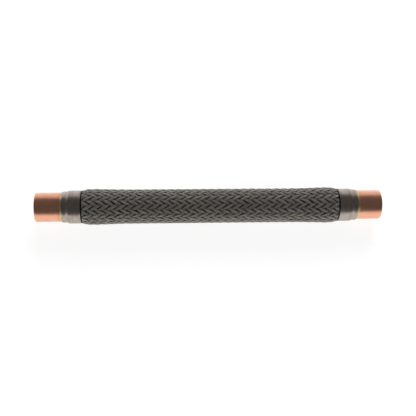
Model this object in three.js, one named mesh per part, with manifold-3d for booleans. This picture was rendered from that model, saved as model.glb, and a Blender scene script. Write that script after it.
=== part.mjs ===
// Vibration eliminator for a refrigerant line, 7/8 in: a corrugated stainless hose under a woven
// stainless braid, with a ferrule and a copper solder socket at each end.
// Millimetres, +Z up. The axis lies along X and the origin is its midpoint.
import * as THREE from 'three';
import { mergeVertices } from 'three/addons/utils/BufferGeometryUtils.js';
import Module from 'manifold-3d';

const wasm = await Module();
wasm.setup();

// Overall
const overallLength = 302;
const turnedFacets = 28;

// Fits between pieces
const brazeGap = 0.06;
const slideGap = 0.15;
const hoseGap = 0.3;

// Copper tube with a socket swaged in its end for a pipe of its own size
const tubeDiameter = 22.22;
const tubeWall = 1.16;
const socketClearance = 0.13;
const socketWall = 1.27;
const socketDepth = 23.2;
const shoulderLength = 1.9;
const shoulderClearance = 0.18;
const rolledEdge = { length: 1.3, drop: 0.4 };
const tubeInset = 0.6;

// How far each ferrule's neck reaches over the socket
const neckGrip = { left: 1.57, right: 3.37 };

// Ferrule, a drawn sleeve with a narrow neck on the socket and a wider body over the braid
const neckWall = 0.47;
const neckRound = 1.2;
const bodyLength = 11.4;
const bodyWall = 0.95;
const stepLength = 1.1;
const mouthChamfer = { length: 0.8, drop: 0.22 };

// Brazing alloy
const outerBrazeLeg = 1.6;
const innerBrazeLength = 1.2;

// Corrugated hose
const hoseWall = 0.3;
const hoseRootInset = 0.16;
const corrugationHeight = 2.68;
const hosePitch = 6.6;
const hoseFacets = 16;
const cuffOverhang = 2.2;

// Braid of flat wire bands, two over and two under
const bandsEachWay = 24;
const bandPitch = 7.15;
const braidEndWall = 0.8;
const braidRelief = 0.6;
const braidSkin = 0.4;
const braidBoreFacets = 24;
const bulge = { rise: { left: 0.55, right: 0.85 }, reach: 10.5, fade: 28 };
const braidLip = { proud: 0.4, flat: 0.6, rise: 1 };

// Bead of sealant where the braid enters the ferrule
const sealDepth = 0.15;

// Sizes that follow from those above
const tubeRadius = tubeDiameter / 2;
const socketRadius = (tubeDiameter + socketClearance) / 2;
const cupRadius = socketRadius + socketWall;
const neckBore = cupRadius + brazeGap;
const neckRadius = neckBore + neckWall;
const cuffBore = tubeRadius + hoseGap;
const cuffRadius = cuffBore + hoseWall;
const braidEndBore = cuffRadius + hoseGap;
const braidEndRadius = braidEndBore + braidEndWall;
const bodyBore = braidEndRadius + slideGap;
const bodyRadius = bodyBore + bodyWall;
const hoseRootRadius = tubeRadius - hoseRootInset;
const hoseCrestRadius = hoseRootRadius + corrugationHeight;
const braidThickness = braidRelief + braidSkin;
const braidRadius = (hoseCrestRadius + hoseGap) / Math.cos(Math.PI / braidBoreFacets) + braidThickness;
const braidLipRadius = bodyRadius + braidLip.proud;
const counterbore = Math.max(neckGrip.left, neckGrip.right) + shoulderLength + shoulderClearance;
const neckLength = counterbore - stepLength / 2;
const ferruleLength = neckLength + bodyLength;
const ferruleSetback = {
  left: socketDepth + socketWall - neckGrip.left,
  right: socketDepth + socketWall - neckGrip.right,
};
const innerBrazeStart = counterbore + slideGap;
const hoseInset = ferruleLength - innerBrazeStart - innerBrazeLength - slideGap;
const mouth = {
  left: -overallLength / 2 + ferruleSetback.left + ferruleLength,
  right: overallLength / 2 - ferruleSetback.right - ferruleLength,
};
const lipDistance = braidLip.flat + braidLip.rise;

const copper = new THREE.MeshStandardMaterial({ color: 0xc67b5c, metalness: 1, roughness: 0.32 });
const brazeAlloy = new THREE.MeshStandardMaterial({ color: 0xc9b46e, metalness: 1, roughness: 0.35 });
const stainless = new THREE.MeshStandardMaterial({ color: 0x9a9692, metalness: 1, roughness: 0.38 });
const braidWire = new THREE.MeshStandardMaterial({ color: 0x86837e, metalness: 1, roughness: 0.45 });
const sealant = new THREE.MeshStandardMaterial({ color: 0x101010, metalness: 0, roughness: 0.8 });

// Turns a closed profile of [x, radius] points about X. The points run along the outside towards
// +x and come back along the inside.
function turned(points, facets = turnedFacets) {
  const profile = [...points, points[0]].map(([x, r]) => new THREE.Vector2(r, x));
  return new THREE.LatheGeometry(profile, facets).rotateZ(-Math.PI / 2);
}

// Quarter round from [x0, r0], where it runs radially, to [x1, r1], where it runs along X.
function quarterRound([x0, r0], [x1, r1], steps) {
  return Array.from({ length: steps + 1 }, (_, i) => {
    const turn = (i / steps) * (Math.PI / 2);
    return [x0 + (x1 - x0) * (1 - Math.cos(turn)), r0 + (r1 - r0) * Math.sin(turn)];
  });
}

function solidOf(geometry) {
  const bare = geometry.clone();
  bare.deleteAttribute('normal');
  bare.deleteAttribute('uv');
  const merged = mergeVertices(bare, 1e-4);
  return new wasm.Manifold(new wasm.Mesh({
    numProp: 3,
    vertProperties: new Float32Array(merged.attributes.position.array),
    triVerts: new Uint32Array(merged.index.array),
  }));
}

function geometryOf(solid) {
  const { vertProperties, triVerts } = solid.getMesh();
  const geometry = new THREE.BufferGeometry();
  geometry.setAttribute('position', new THREE.BufferAttribute(vertProperties, 3));
  geometry.setIndex(new THREE.BufferAttribute(triVerts, 1));
  return geometry;
}

function mesh(name, geometry, material) {
  const made = new THREE.Mesh(geometry, material);
  made.name = name;
  return made;
}

// Copper tube from its open end at x = 0. The shoulder of the socket is the stop for the pipe.
function copperTube(length) {
  const shoulderEnd = socketDepth + shoulderLength;
  return turned([
    ...quarterRound([0, cupRadius - rolledEdge.drop], [rolledEdge.length, cupRadius], 3),
    [socketDepth + socketWall, cupRadius],
    [shoulderEnd + socketWall, tubeRadius],
    [length, tubeRadius],
    [length, tubeRadius - tubeWall],
    [shoulderEnd, tubeRadius - tubeWall],
    [socketDepth, socketRadius],
    [0, socketRadius],
  ]);
}

// Ferrule from its outer face at x = 0: rounded neck, sloping step, body and a chamfered mouth.
function ferrule() {
  return turned([
    ...quarterRound([0, neckBore + neckWall / 2], [neckRound, neckRadius], 2),
    [neckLength, neckRadius],
    [neckLength + stepLength, bodyRadius],
    [ferruleLength - mouthChamfer.length, bodyRadius],
    [ferruleLength, bodyRadius - mouthChamfer.drop],
    [ferruleLength, bodyBore],
    [counterbore, bodyBore],
    [counterbore, neckBore],
    [0, neckBore],
  ]);
}

// Concave fillet of brazing alloy in the corner between the socket and the ferrule's face at x = 0.
function outerBrazeFillet() {
  const root = cupRadius + brazeGap / 2;
  const rise = neckWall / 2;
  return turned([
    [-outerBrazeLeg, root],
    [-outerBrazeLeg / 2, root + rise / 4],
    [-brazeGap, root + rise],
    [-brazeGap, root],
  ]);
}

// Ring of brazing alloy inside the ferrule that closes off the ends of the hose and the braid.
function innerBrazeRing() {
  const end = innerBrazeStart + innerBrazeLength;
  return turned([
    [innerBrazeStart, bodyBore - brazeGap],
    [end, bodyBore - brazeGap],
    [end, tubeRadius + brazeGap],
    [innerBrazeStart + innerBrazeLength / 3, tubeRadius + brazeGap],
  ]);
}

// Bead that fills the groove between the ferrule's mouth and the rising braid.
function sealBead() {
  const start = ferruleLength + brazeGap;
  const top = bodyRadius - sealDepth;
  const bottom = braidEndRadius + slideGap;
  const slope = braidLip.rise / (braidLipRadius - braidEndRadius);
  const braidFace = (radius) => ferruleLength + braidLip.flat + slope * (radius - braidEndRadius);
  return turned([
    [start, top - sealDepth],
    [(start + braidFace(bottom)) / 2, top],
    [braidFace(top) - slideGap, top],
    [braidFace(bottom) - slideGap, bottom],
    [start, bottom],
  ]);
}

// The fittings of one end, with x = 0 at the tube's open face and +x running into the hose.
function endFittings(side) {
  const setback = ferruleSetback[side];
  const onFerrule = new THREE.Group();
  onFerrule.position.x = setback;
  onFerrule.add(
    mesh(`ferrule_${side}`, ferrule(), stainless),
    mesh(`outer_braze_${side}`, outerBrazeFillet(), brazeAlloy),
    mesh(`inner_braze_${side}`, innerBrazeRing(), brazeAlloy),
    mesh(`end_seal_${side}`, sealBead(), sealant),
  );
  const fittings = new THREE.Group();
  const tubeLength = setback + ferruleLength - tubeInset;
  fittings.add(mesh(`copper_tube_${side}`, copperTube(tubeLength), copper), onFerrule);
  return fittings;
}

// Corrugated hose: a plain cuff round each copper tube and ring corrugations between the cuffs.
function corrugatedHose() {
  const start = mouth.left + cuffOverhang;
  const end = mouth.right - cuffOverhang;
  const count = Math.round((end - start) / hosePitch);
  const pitch = (end - start) / count;
  const slantWall = hoseWall * Math.hypot(1, (2 * (hoseCrestRadius - hoseRootRadius)) / pitch);
  const cuffEnd = { left: mouth.left - hoseInset, right: mouth.right + hoseInset };
  const outside = [[cuffEnd.left, cuffRadius], [start - pitch / 2, cuffRadius]];
  const inside = [[cuffEnd.left, cuffBore], [start - pitch / 2, cuffBore]];
  for (let i = 0; i <= count; i += 1) {
    const root = start + i * pitch;
    outside.push([root, hoseRootRadius + slantWall]);
    inside.push([root, hoseRootRadius]);
    if (i < count) {
      outside.push([root + pitch / 2, hoseCrestRadius]);
      inside.push([root + pitch / 2, hoseCrestRadius - slantWall]);
    }
  }
  outside.push([end + pitch / 2, cuffRadius], [cuffEnd.right, cuffRadius]);
  inside.push([end + pitch / 2, cuffBore], [cuffEnd.right, cuffBore]);
  return turned([...outside, ...inside.reverse()], hoseFacets);
}

// Radius of the braid's outside at a distance from its lip: it swells just past the ferrule and
// then fades to the plain radius.
function braidEnvelope(side, distance) {
  const rise = bulge.rise[side];
  if (distance < bulge.reach) {
    const share = Math.sin((Math.PI / 2) * (distance / bulge.reach));
    return braidLipRadius + (braidRadius + rise - braidLipRadius) * share;
  }
  const faded = Math.min(1, (distance - bulge.reach) / bulge.fade);
  return braidRadius + rise * (0.5 + 0.5 * Math.cos(Math.PI * faded));
}

// Rings of the braid's outside as [x, radius, relief], one for each half pitch between the lips.
function braidRings() {
  const first = mouth.left + lipDistance;
  const last = mouth.right - lipDistance;
  const halfPitches = Math.round((last - first) / (bandPitch / 2));
  const rings = [
    [mouth.left - hoseInset, braidEndRadius, 0],
    [mouth.left + braidLip.flat, braidEndRadius, 0],
  ];
  for (let i = 0; i <= halfPitches; i += 1) {
    const x = first + (i / halfPitches) * (last - first);
    const radius = braidEnvelope(x < 0 ? 'left' : 'right', Math.min(x - first, last - x));
    rings.push([x, radius, i > 0 && i < halfPitches ? braidRelief : 0]);
  }
  rings.push(
    [mouth.right - braidLip.flat, braidEndRadius, 0],
    [mouth.right + hoseInset, braidEndRadius, 0],
  );
  return rings;
}

// Outside of the braid as a filled bar. Its grid has a step for each half pitch and each half band:
// every second point is the low corner between four bands, and the others are the high middles of
// the crossings. A square is split along the ridge where a band floats from one crossing to the
// next, and along the groove elsewhere, so rows of floats slant one way and the other in turn.
function wovenBar() {
  const rings = braidRings();
  const columns = 2 * bandsEachWay;
  const bottom = -Math.PI / 2 + Math.PI / columns;
  const positions = [];
  rings.forEach(([x, radius, relief], m) => {
    for (let n = 0; n < columns; n += 1) {
      const angle = bottom + (n / columns) * 2 * Math.PI;
      const r = (m + n) % 2 ? radius : radius - relief;
      positions.push(x, r * Math.cos(angle), r * Math.sin(angle));
    }
  });
  const point = (m, n) => m * columns + (n % columns);
  const faces = [];
  for (let m = 0; m + 1 < rings.length; m += 1) {
    for (let n = 0; n < columns; n += 1) {
      const [a, b, c, d] = [point(m, n), point(m, n + 1), point(m + 1, n + 1), point(m + 1, n)];
      const falling = (m + n) % 2 === 0;
      const floats = n % 4 === (falling ? 0 : 2);
      if (falling === floats) faces.push(a, b, d, b, c, d);
      else faces.push(a, b, c, a, c, d);
    }
  }
  const lastRing = rings.length - 1;
  const [leftCentre, rightCentre] = [positions.length / 3, positions.length / 3 + 1];
  positions.push(rings[0][0], 0, 0, rings[lastRing][0], 0, 0);
  for (let n = 0; n < columns; n += 1) {
    faces.push(leftCentre, point(0, n + 1), point(0, n));
    faces.push(rightCentre, point(lastRing, n), point(lastRing, n + 1));
  }
  const geometry = new THREE.BufferGeometry();
  geometry.setAttribute('position', new THREE.Float32BufferAttribute(positions, 3));
  geometry.setIndex(faces);
  return geometry;
}

// Bore of the braid, which follows the outside at the thickness of two layers of wire.
function braidBore() {
  const overrun = 1;
  const stations = [bulge.reach / 3, bulge.reach, bulge.reach + bulge.fade / 2, bulge.reach + bulge.fade];
  const half = (side) => [
    [-hoseInset - overrun, 0],
    [-hoseInset - overrun, braidEndBore],
    [braidLip.flat, braidEndBore],
    [lipDistance, braidLipRadius - braidThickness],
    ...stations.map((distance) => [lipDistance + distance, braidEnvelope(side, distance) - braidThickness]),
  ];
  const left = half('left').map(([x, r]) => [mouth.left + x, r]);
  const right = half('right').map(([x, r]) => [mouth.right - x, r]).reverse();
  return turned([...left, ...right], braidBoreFacets);
}

// Braid as one wall, woven on its outside.
function braid() {
  return geometryOf(solidOf(wovenBar()).subtract(solidOf(braidBore())));
}

const eliminator = new THREE.Group();
const leftEnd = endFittings('left');
leftEnd.position.x = -overallLength / 2;
const rightEnd = endFittings('right');
rightEnd.position.x = overallLength / 2;
rightEnd.rotation.z = Math.PI;
eliminator.add(
  leftEnd,
  rightEnd,
  mesh('corrugated_hose', corrugatedHose(), stainless),
  mesh('braid', braid(), braidWire),
);

export default eliminator;
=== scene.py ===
# Vibration eliminator for a refrigerant line: copper solder sockets, stainless ferrules and a
# corrugated hose under a braid of drawn wire. Lengths are in metres.
import math
import random

import bpy
import numpy as np
from bpy.props import FloatProperty, FloatVectorProperty, IntProperty, PointerProperty
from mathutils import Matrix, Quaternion, Vector


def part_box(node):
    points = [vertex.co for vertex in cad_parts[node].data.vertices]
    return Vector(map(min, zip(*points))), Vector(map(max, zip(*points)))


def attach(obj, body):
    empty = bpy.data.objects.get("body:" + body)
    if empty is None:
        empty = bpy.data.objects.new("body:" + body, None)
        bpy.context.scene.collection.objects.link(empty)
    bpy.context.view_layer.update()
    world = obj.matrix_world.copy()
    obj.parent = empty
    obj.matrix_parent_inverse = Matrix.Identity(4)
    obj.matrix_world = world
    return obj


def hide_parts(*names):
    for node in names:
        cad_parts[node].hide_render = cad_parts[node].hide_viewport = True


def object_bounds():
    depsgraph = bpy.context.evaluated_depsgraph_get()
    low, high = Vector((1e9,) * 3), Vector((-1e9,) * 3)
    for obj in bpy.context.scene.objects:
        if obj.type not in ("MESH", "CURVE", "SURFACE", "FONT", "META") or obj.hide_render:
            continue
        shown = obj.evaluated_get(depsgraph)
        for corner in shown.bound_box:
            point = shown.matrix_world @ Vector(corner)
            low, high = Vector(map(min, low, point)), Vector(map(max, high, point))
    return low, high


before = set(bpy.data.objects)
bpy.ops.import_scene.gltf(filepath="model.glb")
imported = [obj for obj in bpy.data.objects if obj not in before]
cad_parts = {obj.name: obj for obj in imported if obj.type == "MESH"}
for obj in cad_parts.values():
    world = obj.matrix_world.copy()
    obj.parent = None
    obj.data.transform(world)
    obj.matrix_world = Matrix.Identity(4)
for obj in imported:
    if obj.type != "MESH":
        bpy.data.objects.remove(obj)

bl_info = {
    "name": "Vibration Eliminator",
    "version": (1, 0, 0),
    "blender": (4, 5, 0),
    "location": "3D View > Sidebar > Vibration Eliminator",
    "description": "Braided connector for a refrigerant line, with its studio",
    "category": "Add Mesh",
}

MM = 0.001
CAD_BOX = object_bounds()
NODE_BOX = {name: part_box(name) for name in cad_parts}
SIDES = {"left": -1, "right": 1}


def linear(colour):
    """Linear RGB of an sRGB hex colour."""
    channels = [int(colour[i:i + 2], 16) / 255 for i in (1, 3, 5)]
    return [c / 12.92 if c <= 0.04045 else ((c + 0.055) / 1.055) ** 2.4 for c in channels]


def length(name, description, default_mm):
    """Length property whose default is given in millimetres."""
    return FloatProperty(
        name=name, description=description, default=default_mm * MM,
        min=0, precision=5, unit="LENGTH",
    )


def degrees(name, description, default_degrees):
    """Angle property whose default is given in degrees."""
    return FloatProperty(
        name=name, description=description, default=math.radians(default_degrees),
        subtype="ANGLE",
    )


def number(name, description, default):
    """Property of a plain number."""
    return FloatProperty(name=name, description=description, default=default, min=0)


def colour(name, description, default):
    """Colour property whose default is an sRGB hex value."""
    return FloatVectorProperty(
        name=name, description=description, default=linear(default),
        min=0, max=1, size=3, subtype="COLOR",
    )


# Sizes, finishes and stage


class FittingSizes(bpy.types.PropertyGroup):
    """Sizes of the copper tubes, ferrules, brazing and seals"""

    socket_bore: length("Socket bore", "Inside diameter of the solder socket", 22.35)
    socket_depth: length("Socket depth", "How far a pipe goes in, up to the shoulder", 23.2)
    socket_wall: length("Socket wall", "Thickness of the swaged socket", 1.27)
    shoulder: length("Shoulder", "Length of the shoulder behind the socket", 1.9)
    bare_diameter: length("Bare diameter", "Outside diameter of the socket where it is bare", 25.6)
    narrow_start: length("Narrowing start", "From the ferrule's face to its start", 0.4)
    narrow_end: length("Narrowing end", "From the ferrule's face to its end", 1.6)
    tube_diameter: length("Tube diameter", "Outside diameter behind the shoulder", 22.22)
    tube_wall: length("Tube wall", "Thickness of the wall behind the shoulder", 1.16)
    rim_length: length("Rim length", "Length of the rounded outer edge of the open end", 1.3)
    rim_drop: length("Rim drop", "How far the open end is rounded inwards", 0.4)
    deburr: length("Deburr", "Inner chamfer of the open end", 0.25)
    neck_diameter: length("Neck diameter", "Outside diameter of the ferrule's neck", 27.2)
    neck_length_left: length("Left neck length", "From the ferrule's face to mid-slope", 5.0)
    neck_length_right: length("Right neck length", "The same on the right", 4.7)
    neck_round: length("Neck round", "Length of the rounding at the neck's outer end", 1.6)
    neck_lip: length("Neck lip", "Wall left at the neck's outer end", 0.3)
    step_length_left: length("Left step length", "Length of the slope from neck to body", 2.8)
    step_length_right: length("Right step length", "The same on the right", 3.6)
    body_diameter: length("Body diameter", "Outside diameter of the ferrule's body", 28.8)
    body_bore: length("Body bore", "Inside diameter of the ferrule's body", 25.92)
    mouth_length: length("Mouth length", "Length of the chamfer at the ferrule's mouth", 0.8)
    mouth_drop: length("Mouth drop", "Depth of the chamfer at the ferrule's mouth", 0.22)
    braze_leg: length("Braze leg", "How far the brazing alloy runs out on the copper", 1.6)
    braze_waver: length("Braze waver", "How much the edge of the alloy wanders", 0.3)
    seal_drop: length("Seal drop", "How far the seal lies below the ferrule's outside", 0.15)
    seal_waver: length("Seal waver", "How much the edge of the seal wanders", 0.14)
    segments: IntProperty(
        name="Segments", description="Steps round a turned piece", default=112, min=24
    )


class HoseSizes(bpy.types.PropertyGroup):
    """Sizes of the corrugated hose"""

    wall: length("Wall", "Thickness of the strip", 0.3)
    root_radius: length("Root radius", "Inside radius at the root of a corrugation", 10.95)
    crest_radius: length("Crest radius", "Outside radius at the crest of a corrugation", 13.63)
    pitch: length("Pitch", "Distance from one corrugation to the next", 6.6)
    cuff_bore: length("Cuff bore", "Inside diameter of the plain cuff on the tube", 22.82)
    cuff_overhang: length("Cuff overhang", "How far the first root lies past the mouth", 2.2)
    segments: IntProperty(name="Segments", description="Steps round the hose", default=56, min=16)


class BraidSizes(bpy.types.PropertyGroup):
    """Sizes of the braid and its wires"""

    bands: IntProperty(
        name="Bands", description="Bands of wire that run each way", default=24, min=8
    )
    wires: IntProperty(name="Wires", description="Wires side by side in a band", default=7, min=1)
    wire: length("Wire", "Diameter of a wire", 0.4)
    spacing: length("Wire spacing", "Distance between the middles of neighbouring wires", 0.36)
    pitch: length("Pitch", "Distance along the hose between bands that run the same way", 7.15)
    weave: length("Weave", "Half the height between an over and an under float", 0.48)
    squeeze: number("Squeeze", "Share of the weave's height that is left in the ferrule", 0.5)
    dome: length("Dome", "How far the edges of a float lie below its middle", 0.65)
    gather: number("Gather", "Share by which a band narrows where it dives", 0.2)
    tuck: length("Tuck", "How far the wires run into the ferrule", 1.5)
    radius: length("Radius", "Outside radius of the braid away from the ends", 15.18)
    bulge_left: length("Left bulge", "Extra radius just past the left ferrule", 0.66)
    bulge_right: length("Right bulge", "Extra radius just past the right ferrule", 0.66)
    bulge_reach: length("Bulge reach", "Distance from the lip to the widest place", 7)
    bulge_fade: length("Bulge fade", "Length over which the bulge dies away", 34)
    lip_radius: length("Lip radius", "Outside radius where the braid leaves the seal", 14.75)
    lip_distance: length("Lip distance", "Distance from the ferrule's mouth to the lip", 1.6)
    end_radius: length("End radius", "Outside radius inside the ferrule", 12.75)
    stray: length("Stray", "How far a wire wanders from its place", 0.06)
    drift: length("Drift", "How far a whole band wanders from its place", 0.1)


class FinishColours(bpy.types.PropertyGroup):
    """Base colours of the finishes"""

    copper: colour("Copper", "Clean drawn copper", "#FFBC9B")
    copper_tarnish: colour("Copper tarnish", "Copper that has begun to brown", "#B8714F")
    ferrule: colour("Ferrule steel", "Satin stainless steel", "#BDB1A7")
    ferrule_dull: colour("Dull ferrule steel", "Stainless steel in the tool marks", "#8D837A")
    wire: colour("Wire", "Drawn stainless wire", "#D4CEC5")
    # The dull wire colour also serves as painted shade low in the weave, besides dust and oil
    wire_dull_and_shade: colour("Dull wire", "Wire low in the weave, where dust and oil stay", "#524F4A")
    # Darker than bare stainless, as painted shade for the hose's place under the braid
    hose: colour("Hose steel", "Thin stainless strip", "#7F7B75")
    braze: colour("Brazing alloy", "Silver brazing alloy", "#F2D09A")
    braze_flux: colour("Brazing flux stain", "Brown stain left by the flux", "#A0743E")
    sealant: colour("Sealant", "Cured black sealant", "#0B0B0B")
    floor: colour("Floor", "White studio paper", "#F4F4F4")


class StudioSettings(bpy.types.PropertyGroup):
    """Camera, floor, lamps and reflector"""

    distance: length("Camera distance", "From the camera to the point it looks at", 631)
    lens: number("Lens", "Focal length in millimetres", 62)
    elevation: degrees("Elevation", "Camera above the horizon", 66)
    shift: length("Shift", "How far the camera stands to the left of the middle", 36)
    roll: degrees("Roll", "Turn of the camera about its view", 6.78)
    aim_left: length("Aim left", "How far to the left of the middle the camera aims", 1.1)
    aim_below: length("Aim below", "How far below the axis the camera aims, in its view", 1.9)
    sky: number("Sky", "Level of the sky that lights matt surfaces", 0.12)
    front_power: number("Front lamp", "Power of the front lamp in watts", 1.5)
    back_power: number("Back lamp", "Power of the back lamp in watts", 18.0)
    lamp_size: length("Lamp size", "Side of each lamp", 1000)
    floor_glow: number("Floor glow", "Share of the floor's white that shadows don't reach", 0.69)
    floor_level: number("Floor level", "Level of that share, below white once it is mixed", 1.3)
    dark_level: number("Dark level", "Brightness of the reflector's dark front", 0.09)
    pale_level: number("Pale level", "Brightness of the reflector's pale back", 0.8)


# Materials

# Sockets of a Mix node that carry its two colours and its result
MIX_A, MIX_B, MIX_RESULT = 6, 7, 2


def add(tree, kind, inputs=None, **settings):
    """Adds a node, sets its settings, and sets or links its inputs."""
    node = tree.nodes.new(kind)
    for key, value in settings.items():
        setattr(node, key, value)
    for socket, source in (inputs or {}).items():
        if isinstance(source, bpy.types.NodeSocket):
            tree.links.new(source, node.inputs[socket])
        else:
            node.inputs[socket].default_value = source
    return node


def new_material(name, base, metallic, roughness):
    """Material with plain values on its shader. Returns it with its tree and its shader."""
    material = bpy.data.materials.new(name)
    material.use_nodes = True
    shader = material.node_tree.nodes["Principled BSDF"]
    shader.inputs["Base Color"].default_value = (*base, 1)
    shader.inputs["Metallic"].default_value = metallic
    shader.inputs["Roughness"].default_value = roughness
    return material, material.node_tree, shader


def per_mm(*repeats):
    """Scale of a pattern that repeats so many times in a millimetre along each axis."""
    return tuple(r / MM for r in repeats)


def drawn_copper(colours, heat_start, heat_end):
    """Drawn copper tube."""
    # Satin under a thin film of oil, with fine draw lines, and brown where the torch has been
    material, tree, shader = new_material("drawn_copper", colours.copper, 0.97, 0.3)
    place = add(tree, "ShaderNodeTexCoord").outputs["Object"]
    # Draw lines are about 0.1 mm apart on the real tube, and are drawn 0.45 mm apart to show
    lines_scale = add(tree, "ShaderNodeMapping", {
        "Vector": place, "Scale": per_mm(0.05, 2.2, 2.2)})
    lines = add(tree, "ShaderNodeTexNoise", {
        "Vector": lines_scale.outputs[0], "Scale": 1.0, "Detail": 3.0})
    clouds_scale = add(tree, "ShaderNodeMapping", {
        "Vector": place, "Scale": per_mm(0.16, 0.1, 0.1)})
    clouds = add(tree, "ShaderNodeTexNoise", {
        "Vector": clouds_scale.outputs[0], "Scale": 1.0, "Detail": 2.0})
    along = add(tree, "ShaderNodeSeparateXYZ", {0: place})
    from_middle = add(tree, "ShaderNodeMath", {0: along.outputs["X"]}, operation="ABSOLUTE")
    heat = add(tree, "ShaderNodeMapRange", {
        "Value": from_middle.outputs[0], "From Min": heat_start, "From Max": heat_end,
        "To Min": 0.0, "To Max": 0.45,
    }, interpolation_type="SMOOTHSTEP")
    tarnish = add(tree, "ShaderNodeMapRange", {
        "Value": clouds.outputs["Fac"], "From Min": 0.42, "From Max": 0.75,
        "To Min": 0.0, "To Max": 0.14,
    })
    streaks = add(tree, "ShaderNodeMapRange", {
        "Value": lines.outputs["Fac"], "From Min": 0.35, "From Max": 0.7,
        "To Min": 0.0, "To Max": 0.1,
    })
    both = add(tree, "ShaderNodeMath", {0: heat.outputs[0], 1: tarnish.outputs[0]}, operation="ADD")
    amount = add(tree, "ShaderNodeMath", {
        0: both.outputs[0], 1: streaks.outputs[0]}, operation="ADD", use_clamp=True)
    tint = add(tree, "ShaderNodeMix", {
        "Factor": amount.outputs[0],
        MIX_A: (*colours.copper, 1), MIX_B: (*colours.copper_tarnish, 1),
    }, data_type="RGBA")
    tree.links.new(tint.outputs[MIX_RESULT], shader.inputs["Base Color"])
    rough = add(tree, "ShaderNodeMapRange", {
        "Value": lines.outputs["Fac"], "To Min": 0.27, "To Max": 0.42,
    })
    tree.links.new(rough.outputs[0], shader.inputs["Roughness"])
    shader.inputs["Coat Weight"].default_value = 0.35
    shader.inputs["Coat Roughness"].default_value = 0.25
    bump = add(tree, "ShaderNodeBump", {
        "Height": lines.outputs["Fac"], "Strength": 0.35, "Distance": 0.02 * MM,
    })
    tree.links.new(bump.outputs[0], shader.inputs["Normal"])
    return material


def satin_stainless(colours):
    """Stainless steel, turned and rubbed satin."""
    # Fine rings round it soften its reflections, with duller smears between them
    material, tree, shader = new_material("satin_turned_stainless", colours.ferrule, 1.0, 0.34)
    place = add(tree, "ShaderNodeTexCoord").outputs["Object"]
    # Tool marks are about 0.1 mm apart on the real piece, and are drawn 1 mm apart to show
    rings_scale = add(tree, "ShaderNodeMapping", {
        "Vector": place, "Scale": per_mm(0.9, 0.02, 0.02)})
    rings = add(tree, "ShaderNodeTexNoise", {
        "Vector": rings_scale.outputs[0], "Scale": 1.0, "Detail": 3.0})
    smears_scale = add(tree, "ShaderNodeMapping", {
        "Vector": place, "Scale": per_mm(0.3, 0.14, 0.14)})
    smears = add(tree, "ShaderNodeTexNoise", {
        "Vector": smears_scale.outputs[0], "Scale": 1.0, "Detail": 3.0})
    dull = add(tree, "ShaderNodeMath", {
        0: rings.outputs["Fac"], 1: smears.outputs["Fac"]}, operation="MULTIPLY")
    amount = add(tree, "ShaderNodeMapRange", {
        "Value": dull.outputs[0], "From Min": 0.16, "From Max": 0.42, "To Min": 0.0, "To Max": 0.6,
    })
    tint = add(tree, "ShaderNodeMix", {
        "Factor": amount.outputs[0],
        MIX_A: (*colours.ferrule, 1), MIX_B: (*colours.ferrule_dull, 1),
    }, data_type="RGBA")
    tree.links.new(tint.outputs[MIX_RESULT], shader.inputs["Base Color"])
    rough = add(tree, "ShaderNodeMapRange", {
        "Value": smears.outputs["Fac"], "From Min": 0.3, "From Max": 0.7,
        "To Min": 0.28, "To Max": 0.4,
    })
    tree.links.new(rough.outputs[0], shader.inputs["Roughness"])
    bump = add(tree, "ShaderNodeBump", {
        "Height": rings.outputs["Fac"], "Strength": 0.4, "Distance": 0.02 * MM,
    })
    tree.links.new(bump.outputs[0], shader.inputs["Normal"])
    return material


def drawn_wire(colours):
    """Drawn stainless wire."""
    # A soft sheen, dull in places, uneven from wire to wire, and darker low in the weave, from dust
    # and oil and from painted shade
    material, tree, shader = new_material("drawn_stainless_wire", colours.wire, 0.72, 0.34)
    place = add(tree, "ShaderNodeTexCoord").outputs["Object"]
    patches_scale = add(tree, "ShaderNodeMapping", {
        "Vector": place, "Scale": per_mm(0.45, 0.45, 0.45)})
    patches = add(tree, "ShaderNodeTexNoise", {
        "Vector": patches_scale.outputs[0], "Scale": 1.0, "Detail": 3.0})
    depth = add(tree, "ShaderNodeAttribute", attribute_name="depth")
    # Painted shade: the deeper a point lies below the braid's outside, the more of the dull colour
    # it takes
    hollow = add(tree, "ShaderNodeMapRange", {
        "Value": depth.outputs["Fac"], "From Min": 0.45 * MM, "From Max": 1.05 * MM,
        "To Min": 0.0, "To Max": 0.8,
    })
    tone = add(tree, "ShaderNodeAttribute", attribute_name="tone")
    dulled = add(tree, "ShaderNodeMapRange", {
        "Value": patches.outputs["Fac"], "From Min": 0.35, "From Max": 0.7,
        "To Min": 0.0, "To Max": 0.2,
    })
    uneven = add(tree, "ShaderNodeMath", {0: tone.outputs["Fac"], 1: 0.3}, operation="MULTIPLY")
    worn = add(tree, "ShaderNodeMath", {
        0: dulled.outputs[0], 1: uneven.outputs[0]}, operation="ADD")
    amount = add(tree, "ShaderNodeMath", {
        0: worn.outputs[0], 1: hollow.outputs[0]}, operation="ADD", use_clamp=True)
    tint = add(tree, "ShaderNodeMix", {
        "Factor": amount.outputs[0], MIX_A: (*colours.wire, 1), MIX_B: (*colours.wire_dull_and_shade, 1),
    }, data_type="RGBA")
    tree.links.new(tint.outputs[MIX_RESULT], shader.inputs["Base Color"])
    rough = add(tree, "ShaderNodeMapRange", {
        "Value": patches.outputs["Fac"], "From Min": 0.3, "From Max": 0.7,
        "To Min": 0.3, "To Max": 0.44,
    })
    tree.links.new(rough.outputs[0], shader.inputs["Roughness"])
    return material


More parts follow.
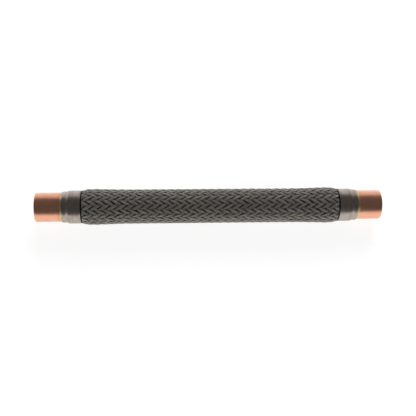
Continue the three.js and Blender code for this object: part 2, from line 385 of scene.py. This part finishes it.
def thin_strip(colours):
    """Thin stainless strip, formed into corrugations."""
    # Smooth, with a faint ripple round it, and half bright: its colour is darker than bare steel as
    # painted shade for its place under the braid
    material, tree, shader = new_material("formed_stainless_strip", colours.hose, 1.0, 0.3)
    place = add(tree, "ShaderNodeTexCoord").outputs["Object"]
    ripple_scale = add(tree, "ShaderNodeMapping", {
        "Vector": place, "Scale": per_mm(1.5, 0.2, 0.2)})
    ripple = add(tree, "ShaderNodeTexNoise", {
        "Vector": ripple_scale.outputs[0], "Scale": 1.0, "Detail": 2.0})
    rough = add(tree, "ShaderNodeMapRange", {
        "Value": ripple.outputs["Fac"], "To Min": 0.24, "To Max": 0.4,
    })
    tree.links.new(rough.outputs[0], shader.inputs["Roughness"])
    bump = add(tree, "ShaderNodeBump", {
        "Height": ripple.outputs["Fac"], "Strength": 0.3, "Distance": 0.03 * MM,
    })
    tree.links.new(bump.outputs[0], shader.inputs["Normal"])
    return material


def brazing_alloy(colours):
    """Silver brazing alloy, solidified."""
    # Bright yellow and wavy, with a little brown stain from the flux
    material, tree, shader = new_material("solidified_brazing_alloy", colours.braze, 0.95, 0.42)
    place = add(tree, "ShaderNodeTexCoord").outputs["Object"]
    waves_scale = add(tree, "ShaderNodeMapping", {
        "Vector": place, "Scale": per_mm(0.8, 0.45, 0.45)})
    waves = add(tree, "ShaderNodeTexNoise", {
        "Vector": waves_scale.outputs[0], "Scale": 1.0, "Detail": 3.0})
    amount = add(tree, "ShaderNodeMapRange", {
        "Value": waves.outputs["Fac"], "From Min": 0.45, "From Max": 0.75,
        "To Min": 0.0, "To Max": 0.6,
    })
    tint = add(tree, "ShaderNodeMix", {
        "Factor": amount.outputs[0], MIX_A: (*colours.braze, 1), MIX_B: (*colours.braze_flux, 1),
    }, data_type="RGBA")
    tree.links.new(tint.outputs[MIX_RESULT], shader.inputs["Base Color"])
    bump = add(tree, "ShaderNodeBump", {
        "Height": waves.outputs["Fac"], "Strength": 0.5, "Distance": 0.1 * MM,
    })
    tree.links.new(bump.outputs[0], shader.inputs["Normal"])
    return material


def cured_sealant(colours):
    """Polyurethane sealant, cured."""
    # Black and half matt, with a faint skin
    material, tree, shader = new_material("cured_black_sealant", colours.sealant, 0.0, 0.5)
    shader.inputs["Specular IOR Level"].default_value = 0.3
    place = add(tree, "ShaderNodeTexCoord").outputs["Object"]
    skin_scale = add(tree, "ShaderNodeMapping", {
        "Vector": place, "Scale": per_mm(1.2, 1.2, 1.2)})
    skin = add(tree, "ShaderNodeTexNoise", {
        "Vector": skin_scale.outputs[0], "Scale": 1.0, "Detail": 3.0})
    rough = add(tree, "ShaderNodeMapRange", {
        "Value": skin.outputs["Fac"], "To Min": 0.4, "To Max": 0.65})
    tree.links.new(rough.outputs[0], shader.inputs["Roughness"])
    bump = add(tree, "ShaderNodeBump", {
        "Height": skin.outputs["Fac"], "Strength": 0.5, "Distance": 0.08 * MM,
    })
    tree.links.new(bump.outputs[0], shader.inputs["Normal"])
    return material


# Shapes

# Steps along a rounded edge, along the tube's narrowings and along the ferrule's slope
ROUND_STEPS, SHOULDER_STEPS, SLOPE_STEPS = 7, 6, 8
SHARP_EDGE = math.radians(32)
# Upper end of a random phase, about a full turn
ANY_PHASE = 6.3


def put(name, mesh, material, slot, *nodes):
    """Links a mesh as a piece of the part, and hides the solids that it stands for."""
    mesh.materials.append(material)
    piece = bpy.data.objects.new(name, mesh)
    bpy.context.scene.collection.objects.link(piece)
    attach(piece, "root")
    if nodes:
        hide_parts(*nodes)
    return piece


def quarter_round(start, end, steps):
    """Points of a quarter round that leaves start radially and reaches end along the axis."""
    (x0, r0), (x1, r1) = start, end
    turns = [i / steps * math.pi / 2 for i in range(steps + 1)]
    return [(x0 + (x1 - x0) * (1 - math.cos(t)), r0 + (r1 - r0) * math.sin(t)) for t in turns]


def soft_step(start, end, steps):
    """Points of an S curve that leaves start and reaches end along the axis."""
    (x0, r0), (x1, r1) = start, end
    points = []
    for i in range(steps + 1):
        share = i / steps
        rise = 0.5 - 0.5 * math.cos(math.pi * share)
        points.append((x0 + (x1 - x0) * share, r0 + (r1 - r0) * rise))
    return points


def turned_mesh(name, profile, segments, waver=None):
    """Closed ring from a profile of (x, radius) points turned about X. A waver(point, angle) says
    how far a point of the profile moves at an angle, as (x, radius)."""
    following = profile[1:] + profile[:1]
    area = sum(x0 * r1 - x1 * r0 for (x0, r0), (x1, r1) in zip(profile, following))
    if area > 0:
        profile = profile[::-1]
    count = len(profile)
    points = []
    for s in range(segments):
        angle = 2 * math.pi * s / segments
        for i, (x, r) in enumerate(profile):
            dx, dr = waver((x, r), angle) if waver else (0, 0)
            points.append((x + dx, (r + dr) * math.sin(angle), (r + dr) * math.cos(angle)))
    faces = []
    for s in range(segments):
        here, there = s * count, (s + 1) % segments * count
        for i in range(count):
            j = (i + 1) % count
            faces.append((here + i, here + j, there + j, there + i))
    mesh = bpy.data.meshes.new(name)
    mesh.from_pydata(points, [], faces)
    mesh.shade_smooth()
    mesh.set_sharp_from_angle(angle=SHARP_EDGE)
    return mesh


def from_open_end(side, profile):
    """Moves a profile whose x is the distance from the open end of one side to its place."""
    sign = SIDES[side]
    face = CAD_BOX[0].x if sign < 0 else CAD_BOX[1].x
    return [(face - sign * x, r) for x, r in profile]


def ferrule_ends(side):
    """Distances of the ferrule's outer face and mouth from the open end."""
    low, high = NODE_BOX["ferrule_" + side]
    if side == "left":
        return low.x - CAD_BOX[0].x, high.x - CAD_BOX[0].x
    return CAD_BOX[1].x - high.x, CAD_BOX[1].x - low.x


def mouth_x(side):
    """Place of the ferrule's mouth along X."""
    low, high = NODE_BOX["ferrule_" + side]
    return high.x if side == "left" else low.x


def copper_tube_profile(side, sizes):
    """The socket, which narrows a little inside the ferrule, its shoulder and the tube behind."""
    # The cup is the socket's outside radius inside the ferrule
    low, high = NODE_BOX["copper_tube_" + side]
    cup = high.z
    face, _ = ferrule_ends(side)
    bare = sizes.bare_diameter / 2
    tube = sizes.tube_diameter / 2
    bore = sizes.socket_bore / 2
    full = high.x - low.x
    behind = sizes.socket_depth + sizes.shoulder
    return [
        *quarter_round((0, bare - sizes.rim_drop), (sizes.rim_length, bare), ROUND_STEPS),
        *soft_step(
            (face + sizes.narrow_start, bare), (face + sizes.narrow_end, cup), SHOULDER_STEPS
        ),
        *soft_step(
            (sizes.socket_depth + sizes.socket_wall, cup), (behind + sizes.socket_wall, tube),
            SHOULDER_STEPS,
        ),
        (full, tube),
        (full, tube - sizes.tube_wall),
        *soft_step((behind, tube - sizes.tube_wall), (sizes.socket_depth, bore), SHOULDER_STEPS),
        (sizes.deburr, bore),
        (0, bore + sizes.deburr),
    ]


def ferrule_profile(side, sizes):
    """The neck, the slope, the body with its chamfered mouth, and the bores inside."""
    face, mouth = ferrule_ends(side)
    cup = NODE_BOX["copper_tube_" + side][1].z
    bare = sizes.bare_diameter / 2
    body = sizes.body_diameter / 2
    neck = sizes.neck_diameter / 2
    step = face + getattr(sizes, "neck_length_" + side)
    reach = getattr(sizes, "step_length_" + side) / 2
    inner = sizes.body_bore / 2
    clear = 0.02 * MM
    narrow = face + sizes.narrow_end + clear
    return [
        *quarter_round((face, bare + sizes.neck_lip), (face + sizes.neck_round, neck), ROUND_STEPS),
        *soft_step((step - reach, neck), (step + reach, body), SLOPE_STEPS),
        (mouth - sizes.mouth_length, body),
        (mouth - sizes.mouth_length / 3, body - sizes.mouth_drop / 4),
        (mouth, body - sizes.mouth_drop),
        (mouth, inner),
        (step, inner),
        (step, cup + clear),
        (narrow, cup + clear),
        (narrow, bare + clear),
        (face, bare + clear),
    ]


def braze_profile(side, sizes):
    """The fillet's hollow face, from the copper to over the neck's lip, and its root below."""
    face, _ = ferrule_ends(side)
    bare = sizes.bare_diameter / 2
    over, cover, sink, root, hollowness = 0.1 * MM, 0.06 * MM, 0.05 * MM, 0.3 * MM, 2.2
    rise = sizes.neck_lip + over
    hollow = [
        (face - sizes.braze_leg * (1 - share), bare + rise * share ** hollowness)
        for share in (0, 0.2, 0.4, 0.6, 0.8, 0.95)
    ]
    return [
        *hollow,
        (face + root, bare + rise + cover),
        (face + root, bare - sink),
        (face - sizes.braze_leg, bare - sink),
    ]


def seal_profile(side, sizes, braid):
    """A bead that fills the ferrule's mouth round the braid and ends short of the braid's lip."""
    _, mouth = ferrule_ends(side)
    top = sizes.body_diameter / 2 - sizes.seal_drop
    bottom = braid.end_radius - 0.3 * MM
    width = braid.lip_distance * 0.78
    back = mouth - 0.05 * MM
    # The bead rises over its first quarter, and is flat up to three fifths of its width
    return [
        (back, top - sizes.mouth_drop * 0.6),
        (mouth + width * 0.25, top),
        (mouth + width * 0.6, top),
        (mouth + width, top - 0.2 * MM),
        (mouth + width * 0.5, bottom),
        (back, bottom),
    ]


def hose_profile(sizes):
    """Cuffs and ring corrugations with round crests and roots."""
    start = mouth_x("left") + sizes.cuff_overhang
    end = mouth_x("right") - sizes.cuff_overhang
    low, high = NODE_BOX["corrugated_hose"]
    count = round((end - start) / sizes.pitch)
    pitch = (end - start) / count
    cuff = sizes.cuff_bore / 2
    steps, roundness = 10, 0.8
    outside, inside = [(low.x, cuff + sizes.wall)], [(low.x, cuff)]
    height = sizes.crest_radius - sizes.wall - sizes.root_radius
    for i in range(-steps // 2, count * steps + steps // 2 + 1):
        x = start + i * pitch / steps
        wave = -math.cos(2 * math.pi * i / steps)
        share = 0.5 + 0.5 * math.copysign(abs(wave) ** roundness, wave)
        outer_end = i < 0 or i > count * steps
        r = sizes.root_radius + (cuff - sizes.root_radius if outer_end else height) * share
        inside.append((x, r))
        outside.append((x, r + sizes.wall))
    outside.append((high.x, cuff + sizes.wall))
    inside.append((high.x, cuff))
    return outside + inside[::-1]


# Phases at which a wire is drawn, in crossings. It floats over two crossings, from -0.5 to 1.5, and
# dives under the next two.
FLOAT_PHASES = np.arange(10) * 0.4 + 0.5
FLOAT_PERIOD = 4
FLOAT_ROUNDNESS = 0.7
# Least distance in crossings from a wire's end to the next drawn phase
END_MARGIN = 0.1
WIRE_SIDES = 5
# Places, as shares of the lip's distance from the mouth, between which the braid narrows
NARROW_FROM, NARROW_TO = 1.0, 0.3
# Wavelengths along X, divided by a full turn, at which a wire strays, a band drifts and a wire sags
STRAY_WAVES = (3.1 * MM, 7.3 * MM)
DRIFT_WAVES = (6.7 * MM, 15.1 * MM)
SAG_WAVE = 5.3 * MM


def braid_outside(x, sizes):
    """Outside radius of the braid at places along X."""
    from_left = x - (mouth_x("left") + sizes.lip_distance)
    from_right = (mouth_x("right") - sizes.lip_distance) - x
    distance = np.minimum(from_left, from_right)
    rise = np.where(from_left < from_right, sizes.bulge_left, sizes.bulge_right)
    swelling = np.sin(np.pi / 2 * np.clip(distance / sizes.bulge_reach, 0, 1))
    near = sizes.lip_radius + (sizes.radius + rise - sizes.lip_radius) * swelling
    faded = np.clip((distance - sizes.bulge_reach) / sizes.bulge_fade, 0, 1)
    far = sizes.radius + rise * (0.5 + 0.5 * np.cos(np.pi * faded))
    inside = np.clip(-distance / (sizes.lip_distance * (NARROW_FROM - NARROW_TO)), 0, 1)
    tucked = sizes.lip_radius + (sizes.end_radius - sizes.lip_radius) * inside
    return np.where(distance < 0, tucked, np.where(distance < sizes.bulge_reach, near, far))


def wire_line(sizes, hand, band, across, chance, drifts):
    """Middle line of one wire: places along X, angles and radii. Across is in band widths, and
    drifts holds the band's own two phases."""
    start, end = mouth_x("left") - sizes.tuck, mouth_x("right") + sizes.tuck
    # The first crossing of a left-hand band lies two crossings on, so that the two hands alternate
    first = 2 * band + across if hand > 0 else 2 * band + across - 2
    per_length = hand * 2 / sizes.pitch
    ends = sorted((first + per_length * start, first + per_length * end))
    periods = np.arange(
        math.floor(ends[0] / FLOAT_PERIOD) - 1, math.ceil(ends[1] / FLOAT_PERIOD) + 1
    )
    phases = (periods[:, None] * FLOAT_PERIOD + FLOAT_PHASES[None, :]).ravel()
    phases = phases[(phases > ends[0] + END_MARGIN) & (phases < ends[1] - END_MARGIN)]
    x = (phases - first) / per_length
    lips = [mouth_x("left") + sizes.lip_distance * s for s in (NARROW_TO, NARROW_FROM)]
    lips += [mouth_x("right") - sizes.lip_distance * s for s in (NARROW_TO, NARROW_FROM)]
    x = np.unique(np.concatenate([x, [start, end], lips]))
    swing = np.cos(np.pi / 2 * (first + per_length * x - 0.5))
    height = np.sign(swing) * np.abs(swing) ** FLOAT_ROUNDNESS
    gathered = across * (1 - sizes.gather * (1 - np.abs(swing)))
    starts = [chance.uniform(0, ANY_PHASE) for _ in range(3)]
    stray = sizes.stray * sum(np.sin(x / wave + start) for wave, start in zip(STRAY_WAVES, starts))
    stray += sizes.drift * sum(np.sin(x / wave + start) for wave, start in zip(DRIFT_WAVES, drifts))
    sag = sizes.stray * (1 - np.sin(x / SAG_WAVE + starts[2]))
    dome = sizes.dome * (2 * across) ** 2 * (0.5 + 0.5 * height)
    outside = braid_outside(x, sizes)
    room = np.clip((outside - sizes.end_radius) / (sizes.lip_radius - sizes.end_radius), 0, 1)
    weave = sizes.weave * (sizes.squeeze + (1 - sizes.squeeze) * room)
    radius = outside - sizes.wire / 2 - weave * (1 - height) - dome - sag
    angle = 2 * np.pi / sizes.bands * (band + gathered + hand * x / sizes.pitch) + stray / radius
    return x, angle, radius


def band_mesh(name, sizes, hand, band):
    """Wires of one band as closed tubes side by side. The depth attribute is how far a point lies
    below the braid's outside, and the tone attribute differs from wire to wire."""
    # Each band has a seed of its own
    chance = random.Random(1000 * (hand + 2) + band)
    slope = math.atan2(2 * math.pi * sizes.radius / sizes.bands, sizes.pitch)
    band_width = 2 * math.pi * sizes.radius / sizes.bands * math.cos(slope)
    drifts = [chance.uniform(0, ANY_PHASE) for _ in range(2)]
    turns = np.arange(WIRE_SIDES) * 2 * np.pi / WIRE_SIDES
    points, faces, tones, base = [], [], [], 0
    for wire in range(sizes.wires):
        across = (wire - (sizes.wires - 1) / 2) * sizes.spacing / band_width
        x, angle, radius = wire_line(sizes, hand, band, across, chance, drifts)
        line = np.stack([x, radius * np.sin(angle), radius * np.cos(angle)], axis=1)
        along = np.gradient(line, axis=0)
        along /= np.linalg.norm(along, axis=1, keepdims=True)
        out = np.stack([np.zeros_like(x), np.sin(angle), np.cos(angle)], axis=1)
        sideways = np.cross(out, along)
        sideways /= np.linalg.norm(sideways, axis=1, keepdims=True)
        outwards = np.cross(along, sideways)
        ring = np.cos(turns)[None, :, None] * outwards[:, None, :]
        ring = ring + np.sin(turns)[None, :, None] * sideways[:, None, :]
        points.append((line[:, None, :] + sizes.wire / 2 * ring).reshape(-1, 3))
        rows = len(x)
        tones.append(np.full(rows * WIRE_SIDES, chance.random()))
        for i in range(rows - 1):
            for k in range(WIRE_SIDES):
                a = base + i * WIRE_SIDES + k
                b = base + i * WIRE_SIDES + (k + 1) % WIRE_SIDES
                faces.append((a, b, b + WIRE_SIDES, a + WIRE_SIDES))
        last = base + (rows - 1) * WIRE_SIDES
        faces.append(tuple(base + k for k in reversed(range(WIRE_SIDES))))
        faces.append(tuple(last + k for k in range(WIRE_SIDES)))
        base += rows * WIRE_SIDES
    points = np.concatenate(points)
    mesh = bpy.data.meshes.new(name)
    mesh.from_pydata(points.tolist(), [], faces)
    mesh.shade_smooth()
    depth = braid_outside(points[:, 0], sizes) - np.hypot(points[:, 1], points[:, 2])
    for attribute, values in (("depth", depth), ("tone", np.concatenate(tones))):
        data = mesh.attributes.new(attribute, "FLOAT", "POINT").data
        data.foreach_set("value", values.astype(np.float32))
    return mesh


# Operators

# Seeds of the wavering edges, how far the copper is browned from the ferrule's face, and the
# share of its full height that the fillet's waver has
BRAZE_SEED, SEAL_SEED = 10, 20
HEAT_REACH = 4 * MM
BRAZE_WAVER_SHARE = 0.6


def ripple(starts, crests, more_crests, turn):
    """Sum of waves round a ring. The first has so many crests, and each next one so many more."""
    return sum(
        math.sin((crests + more_crests * k) * turn + start) / (k + 1)
        for k, start in enumerate(starts)
    )


class ELIMINATOR_OT_copper_tubes(bpy.types.Operator):
    """Add the copper tube with its solder socket at each end"""

    bl_idname = "eliminator.copper_tubes"
    bl_label = "Copper Tubes"

    def execute(self, context):
        sizes = context.scene.eliminator_fittings
        face, _ = ferrule_ends("left")
        ferrule_x = abs(CAD_BOX[0].x) - face
        material = drawn_copper(
            context.scene.eliminator_colours, ferrule_x + HEAT_REACH, ferrule_x
        )
        for side in SIDES:
            name = f"copper_socket_tube_{side}"
            profile = from_open_end(side, copper_tube_profile(side, sizes))
            mesh = turned_mesh(name, profile, sizes.segments)
            put(name, mesh, material, "copper", f"copper_tube_{side}")
        return {"FINISHED"}


class ELIMINATOR_OT_ferrules(bpy.types.Operator):
    """Add the stepped stainless ferrule at each end"""

    bl_idname = "eliminator.ferrules"
    bl_label = "Ferrules"

    def execute(self, context):
        sizes = context.scene.eliminator_fittings
        material = satin_stainless(context.scene.eliminator_colours)
        for side in SIDES:
            name = f"stepped_ferrule_{side}"
            profile = from_open_end(side, ferrule_profile(side, sizes))
            mesh = turned_mesh(name, profile, sizes.segments)
            put(name, mesh, material, "ferrule_steel", f"ferrule_{side}")
        return {"FINISHED"}


class ELIMINATOR_OT_brazing(bpy.types.Operator):
    """Add the fillets of brazing alloy and finish the hidden rings inside the ferrules"""

    bl_idname = "eliminator.brazing"
    bl_label = "Brazing"

    def execute(self, context):
        sizes = context.scene.eliminator_fittings
        material = brazing_alloy(context.scene.eliminator_colours)
        for side, sign in SIDES.items():
            chance = random.Random(BRAZE_SEED + sign)
            starts = [chance.uniform(0, ANY_PHASE) for _ in range(3)]
            face = from_open_end(side, [(ferrule_ends(side)[0], 0)])[0][0]

            def waver(point, turn):
                reach = abs(point[0] - face) / sizes.braze_leg
                wave = ripple(starts, 2, 1, turn)
                return sign * sizes.braze_waver * wave * reach * BRAZE_WAVER_SHARE, 0

            name = f"braze_fillet_{side}"
            profile = from_open_end(side, braze_profile(side, sizes))
            mesh = turned_mesh(name, profile, sizes.segments, waver)
            put(name, mesh, material, "brazing_alloy", f"outer_braze_{side}")
            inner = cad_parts[f"inner_braze_{side}"]
            inner.data.materials.clear()
            inner.data.materials.append(material)
        return {"FINISHED"}


class ELIMINATOR_OT_seals(bpy.types.Operator):
    """Add the black bead of sealant at the mouth of each ferrule"""

    bl_idname = "eliminator.seals"
    bl_label = "Seals"

    def execute(self, context):
        sizes = context.scene.eliminator_fittings
        braid = context.scene.eliminator_braid
        material = cured_sealant(context.scene.eliminator_colours)
        for side, sign in SIDES.items():
            chance = random.Random(SEAL_SEED + sign)
            starts = [chance.uniform(0, ANY_PHASE) for _ in range(4)]
            mouth = mouth_x(side)

            def waver(point, turn):
                reach = abs(point[0] - mouth) / braid.lip_distance
                return -sign * sizes.seal_waver * ripple(starts, 7, 5, turn) * reach, 0

            name = f"sealant_bead_{side}"
            profile = from_open_end(side, seal_profile(side, sizes, braid))
            mesh = turned_mesh(name, profile, sizes.segments, waver)
            put(name, mesh, material, "sealant", f"end_seal_{side}")
        return {"FINISHED"}


class ELIMINATOR_OT_hose(bpy.types.Operator):
    """Add the corrugated hose"""

    bl_idname = "eliminator.hose"
    bl_label = "Corrugated Hose"

    def execute(self, context):
        sizes = context.scene.eliminator_hose
        material = thin_strip(context.scene.eliminator_colours)
        mesh = turned_mesh("bellows_hose", hose_profile(sizes), sizes.segments)
        put("bellows_hose", mesh, material, "hose_steel", "corrugated_hose")
        return {"FINISHED"}


class ELIMINATOR_OT_braid(bpy.types.Operator):
    """Add the bands of wire that are woven into the braid"""

    bl_idname = "eliminator.braid"
    bl_label = "Wire Braid"

    def execute(self, context):
        sizes = context.scene.eliminator_braid
        material = drawn_wire(context.scene.eliminator_colours)
        for hand, label in ((1, "right"), (-1, "left")):
            for band in range(sizes.bands):
                name = f"braid_band_{label}_hand_{band + 1:02d}"
                put(name, band_mesh(name, sizes, hand, band), material, "braid_wire", "braid")
        return {"FINISHED"}


class ELIMINATOR_OT_studio(bpy.types.Operator):
    """Add the floor, the sky, the lamps, the reflector and the camera"""

    bl_idname = "eliminator.studio"
    bl_label = "Studio"

    def execute(self, context):
        settings = context.scene.eliminator_studio
        add_floor(context.scene.eliminator_colours, settings)
        add_sky(context.scene, settings)
        add_lamp("front_lamp", FRONT_LAMP_PLACE, settings.front_power, settings.lamp_size)
        add_lamp("back_lamp", BACK_LAMP_PLACE, settings.back_power, settings.lamp_size)
        add_reflector(settings)
        add_camera(context.scene, settings)
        context.scene.view_settings.view_transform = "Standard"
        return {"FINISHED"}


# Stage

FRONT_LAMP_PLACE = Vector((-0.2, -1.1, 0.3))
BACK_LAMP_PLACE = Vector((0.2, 1.1, 0.55))


def stage_object(name, data):
    """Links an object of the stage."""
    made = bpy.data.objects.new(name, data)
    bpy.context.scene.collection.objects.link(made)
    return made


def add_floor(colours, settings):
    """Sheet of white paper at the height of the part's lowest point."""
    # Matt and pure white away from the part, with only a faint shadow under it
    reach = 6.0
    level = CAD_BOX[0].z
    mesh = bpy.data.meshes.new("studio_floor")
    corners = [(-1, -1), (1, -1), (1, 1), (-1, 1)]
    mesh.from_pydata([(reach * x, reach * y, level) for x, y in corners], [], [(0, 1, 2, 3)])
    material, tree, shader = new_material("white_paper", colours.floor, 0.0, 1.0)
    shader.inputs["Specular IOR Level"].default_value = 0.0
    path = add(tree, "ShaderNodeLightPath")
    mirrored = add(tree, "ShaderNodeMath", {
        0: path.outputs["Is Glossy Ray"], 1: path.outputs["Is Transmission Ray"],
    }, operation="MAXIMUM")
    seen = add(tree, "ShaderNodeMath", {
        0: path.outputs["Is Camera Ray"], 1: mirrored.outputs[0]}, operation="MAXIMUM")
    share = add(tree, "ShaderNodeMath", {
        0: seen.outputs[0], 1: settings.floor_glow}, operation="MULTIPLY")
    glow = add(tree, "ShaderNodeEmission", {
        "Color": (1, 1, 1, 1), "Strength": settings.floor_level})
    mixed = add(tree, "ShaderNodeMixShader", {
        0: share.outputs[0], 1: shader.outputs[0], 2: glow.outputs[0]})
    tree.links.new(mixed.outputs[0], tree.nodes["Material Output"].inputs["Surface"])
    mesh.materials.append(material)
    stage_object("studio_floor", mesh)


def add_sky(scene, settings):
    """White sky, which lights matt surfaces at a lower level than it is seen."""
    world = bpy.data.worlds.new("white_sky")
    world.use_nodes = True
    scene.world = world
    tree = world.node_tree
    path = add(tree, "ShaderNodeLightPath")
    mirrored = add(tree, "ShaderNodeMath", {
        0: path.outputs["Is Glossy Ray"], 1: path.outputs["Is Transmission Ray"],
    }, operation="MAXIMUM")
    seen = add(tree, "ShaderNodeMath", {
        0: path.outputs["Is Camera Ray"], 1: mirrored.outputs[0]}, operation="MAXIMUM")
    strength = add(tree, "ShaderNodeMapRange", {
        "Value": seen.outputs[0], "To Min": settings.sky, "To Max": 1.0})
    background = tree.nodes["Background"]
    background.inputs["Color"].default_value = (1, 1, 1, 1)
    tree.links.new(strength.outputs[0], background.inputs["Strength"])


def add_lamp(name, place, power, size):
    """Large soft lamp that faces the part. It isn't seen in reflections."""
    light = bpy.data.lights.new(name, "AREA")
    light.size = size
    light.energy = power
    lamp = stage_object(name, light)
    lamp.location = place
    lamp.rotation_euler = place.to_track_quat("Z", "Y").to_euler()
    lamp.visible_glossy = False


def add_reflector(settings):
    """Tunnel over the part that only reflections show, from just above the floor in front of it."""
    # Dull cloth: dark in front and above, and pale at the back
    radius, half_length, steps = 1.0, 1.8, 48
    front, turn_pale, pale = (math.radians(edge) for edge in (7, 132, 158))
    fade_start, fade_end = 1.5, 1.75
    low = math.asin(CAD_BOX[0].z / radius)
    points, faces = [], []
    for i in range(steps + 1):
        turn = front + (math.pi - low - front) * i / steps
        y, z = -radius * math.cos(turn), radius * math.sin(turn)
        points += [(-half_length, y, z), (half_length, y, z)]
    for i in range(steps):
        faces.append((2 * i, 2 * i + 1, 2 * i + 3, 2 * i + 2))
    # The tunnel's two ends
    faces.append(tuple(range(0, 2 * steps + 2, 2)))
    faces.append(tuple(range(1, 2 * steps + 2, 2)))
    mesh = bpy.data.meshes.new("reflector")
    mesh.from_pydata(points, [], faces)
    material = bpy.data.materials.new("reflector_cloth")
    material.use_nodes = True
    material.cycles.emission_sampling = "NONE"
    tree = material.node_tree
    tree.nodes.remove(tree.nodes["Principled BSDF"])
    place = add(tree, "ShaderNodeTexCoord").outputs["Object"]
    parts = add(tree, "ShaderNodeSeparateXYZ", {0: place})
    back = add(tree, "ShaderNodeMath", {0: parts.outputs["Y"], 1: -1.0}, operation="MULTIPLY")
    round_part = add(tree, "ShaderNodeMath", {
        0: parts.outputs["Z"], 1: back.outputs[0]}, operation="ARCTAN2")
    rise = add(tree, "ShaderNodeMapRange", {
        "Value": round_part.outputs[0], "From Min": turn_pale, "From Max": pale,
    }, interpolation_type="SMOOTHSTEP")
    along = add(tree, "ShaderNodeMath", {0: parts.outputs["X"]}, operation="ABSOLUTE")
    middle = add(tree, "ShaderNodeMapRange", {
        "Value": along.outputs[0], "From Min": fade_start, "From Max": fade_end,
        "To Min": 1.0, "To Max": 0.0,
    })
    share = add(tree, "ShaderNodeMath", {
        0: rise.outputs[0], 1: middle.outputs[0]}, operation="MULTIPLY")
    level = add(tree, "ShaderNodeMapRange", {
        "Value": share.outputs[0], "To Min": settings.dark_level, "To Max": settings.pale_level})
    glow = add(tree, "ShaderNodeEmission", {
        "Color": (1, 1, 1, 1), "Strength": level.outputs[0]})
    tree.links.new(glow.outputs[0], tree.nodes["Material Output"].inputs["Surface"])
    mesh.materials.append(material)
    tunnel = stage_object("reflector", mesh)
    tunnel.visible_camera = False
    tunnel.visible_diffuse = False
    tunnel.visible_transmission = False
    tunnel.visible_shadow = False


def add_camera(scene, settings):
    """Camera in front, above and a little to the left."""
    data = bpy.data.cameras.new("camera")
    data.sensor_width = 36
    data.lens = settings.lens
    data.clip_start, data.clip_end = 0.01, 50
    camera = stage_object("camera", data)
    back = Vector((
        -settings.shift / settings.distance,
        -math.cos(settings.elevation),
        math.sin(settings.elevation),
    )).normalized()
    look = (-back).to_track_quat("-Z", "Y")
    up = look @ Vector((0, 1, 0))
    aim = Vector((-settings.aim_left, 0, 0)) - up * settings.aim_below
    camera.location = aim + back * settings.distance
    camera.rotation_mode = "QUATERNION"
    camera.rotation_quaternion = Quaternion(back, settings.roll) @ look
    scene.camera = camera


PIECES = (
    ELIMINATOR_OT_copper_tubes,
    ELIMINATOR_OT_ferrules,
    ELIMINATOR_OT_brazing,
    ELIMINATOR_OT_seals,
    ELIMINATOR_OT_hose,
    ELIMINATOR_OT_braid,
    ELIMINATOR_OT_studio,
)

SETTINGS = {
    "eliminator_fittings": FittingSizes,
    "eliminator_hose": HoseSizes,
    "eliminator_braid": BraidSizes,
    "eliminator_colours": FinishColours,
    "eliminator_studio": StudioSettings,
}


class ELIMINATOR_PT_panel(bpy.types.Panel):
    """Lists the pieces and their settings"""

    bl_idname = "ELIMINATOR_PT_panel"
    bl_label = "Vibration Eliminator"
    bl_space_type = "VIEW_3D"
    bl_region_type = "UI"
    bl_category = "Vibration Eliminator"

    def draw(self, context):
        for piece in PIECES:
            self.layout.operator(piece.bl_idname)
        for name in SETTINGS:
            box = self.layout.box()
            group = getattr(context.scene, name)
            for key in group.bl_rna.properties.keys():
                if key not in ("rna_type", "name"):
                    box.prop(group, key)


def register():
    for group in SETTINGS.values():
        bpy.utils.register_class(group)
    for name, group in SETTINGS.items():
        setattr(bpy.types.Scene, name, PointerProperty(type=group))
    for piece in PIECES:
        bpy.utils.register_class(piece)
    bpy.utils.register_class(ELIMINATOR_PT_panel)


def unregister():
    bpy.utils.unregister_class(ELIMINATOR_PT_panel)
    for piece in reversed(PIECES):
        bpy.utils.unregister_class(piece)
    for name in SETTINGS:
        delattr(bpy.types.Scene, name)
    for group in SETTINGS.values():
        bpy.utils.unregister_class(group)


def main():
    """Builds the stage and the part."""
    register()
    bpy.ops.eliminator.studio()
    bpy.ops.eliminator.copper_tubes()
    bpy.ops.eliminator.ferrules()
    bpy.ops.eliminator.brazing()
    bpy.ops.eliminator.seals()
    bpy.ops.eliminator.hose()
    bpy.ops.eliminator.braid()


if __name__ == "__main__":
    main()
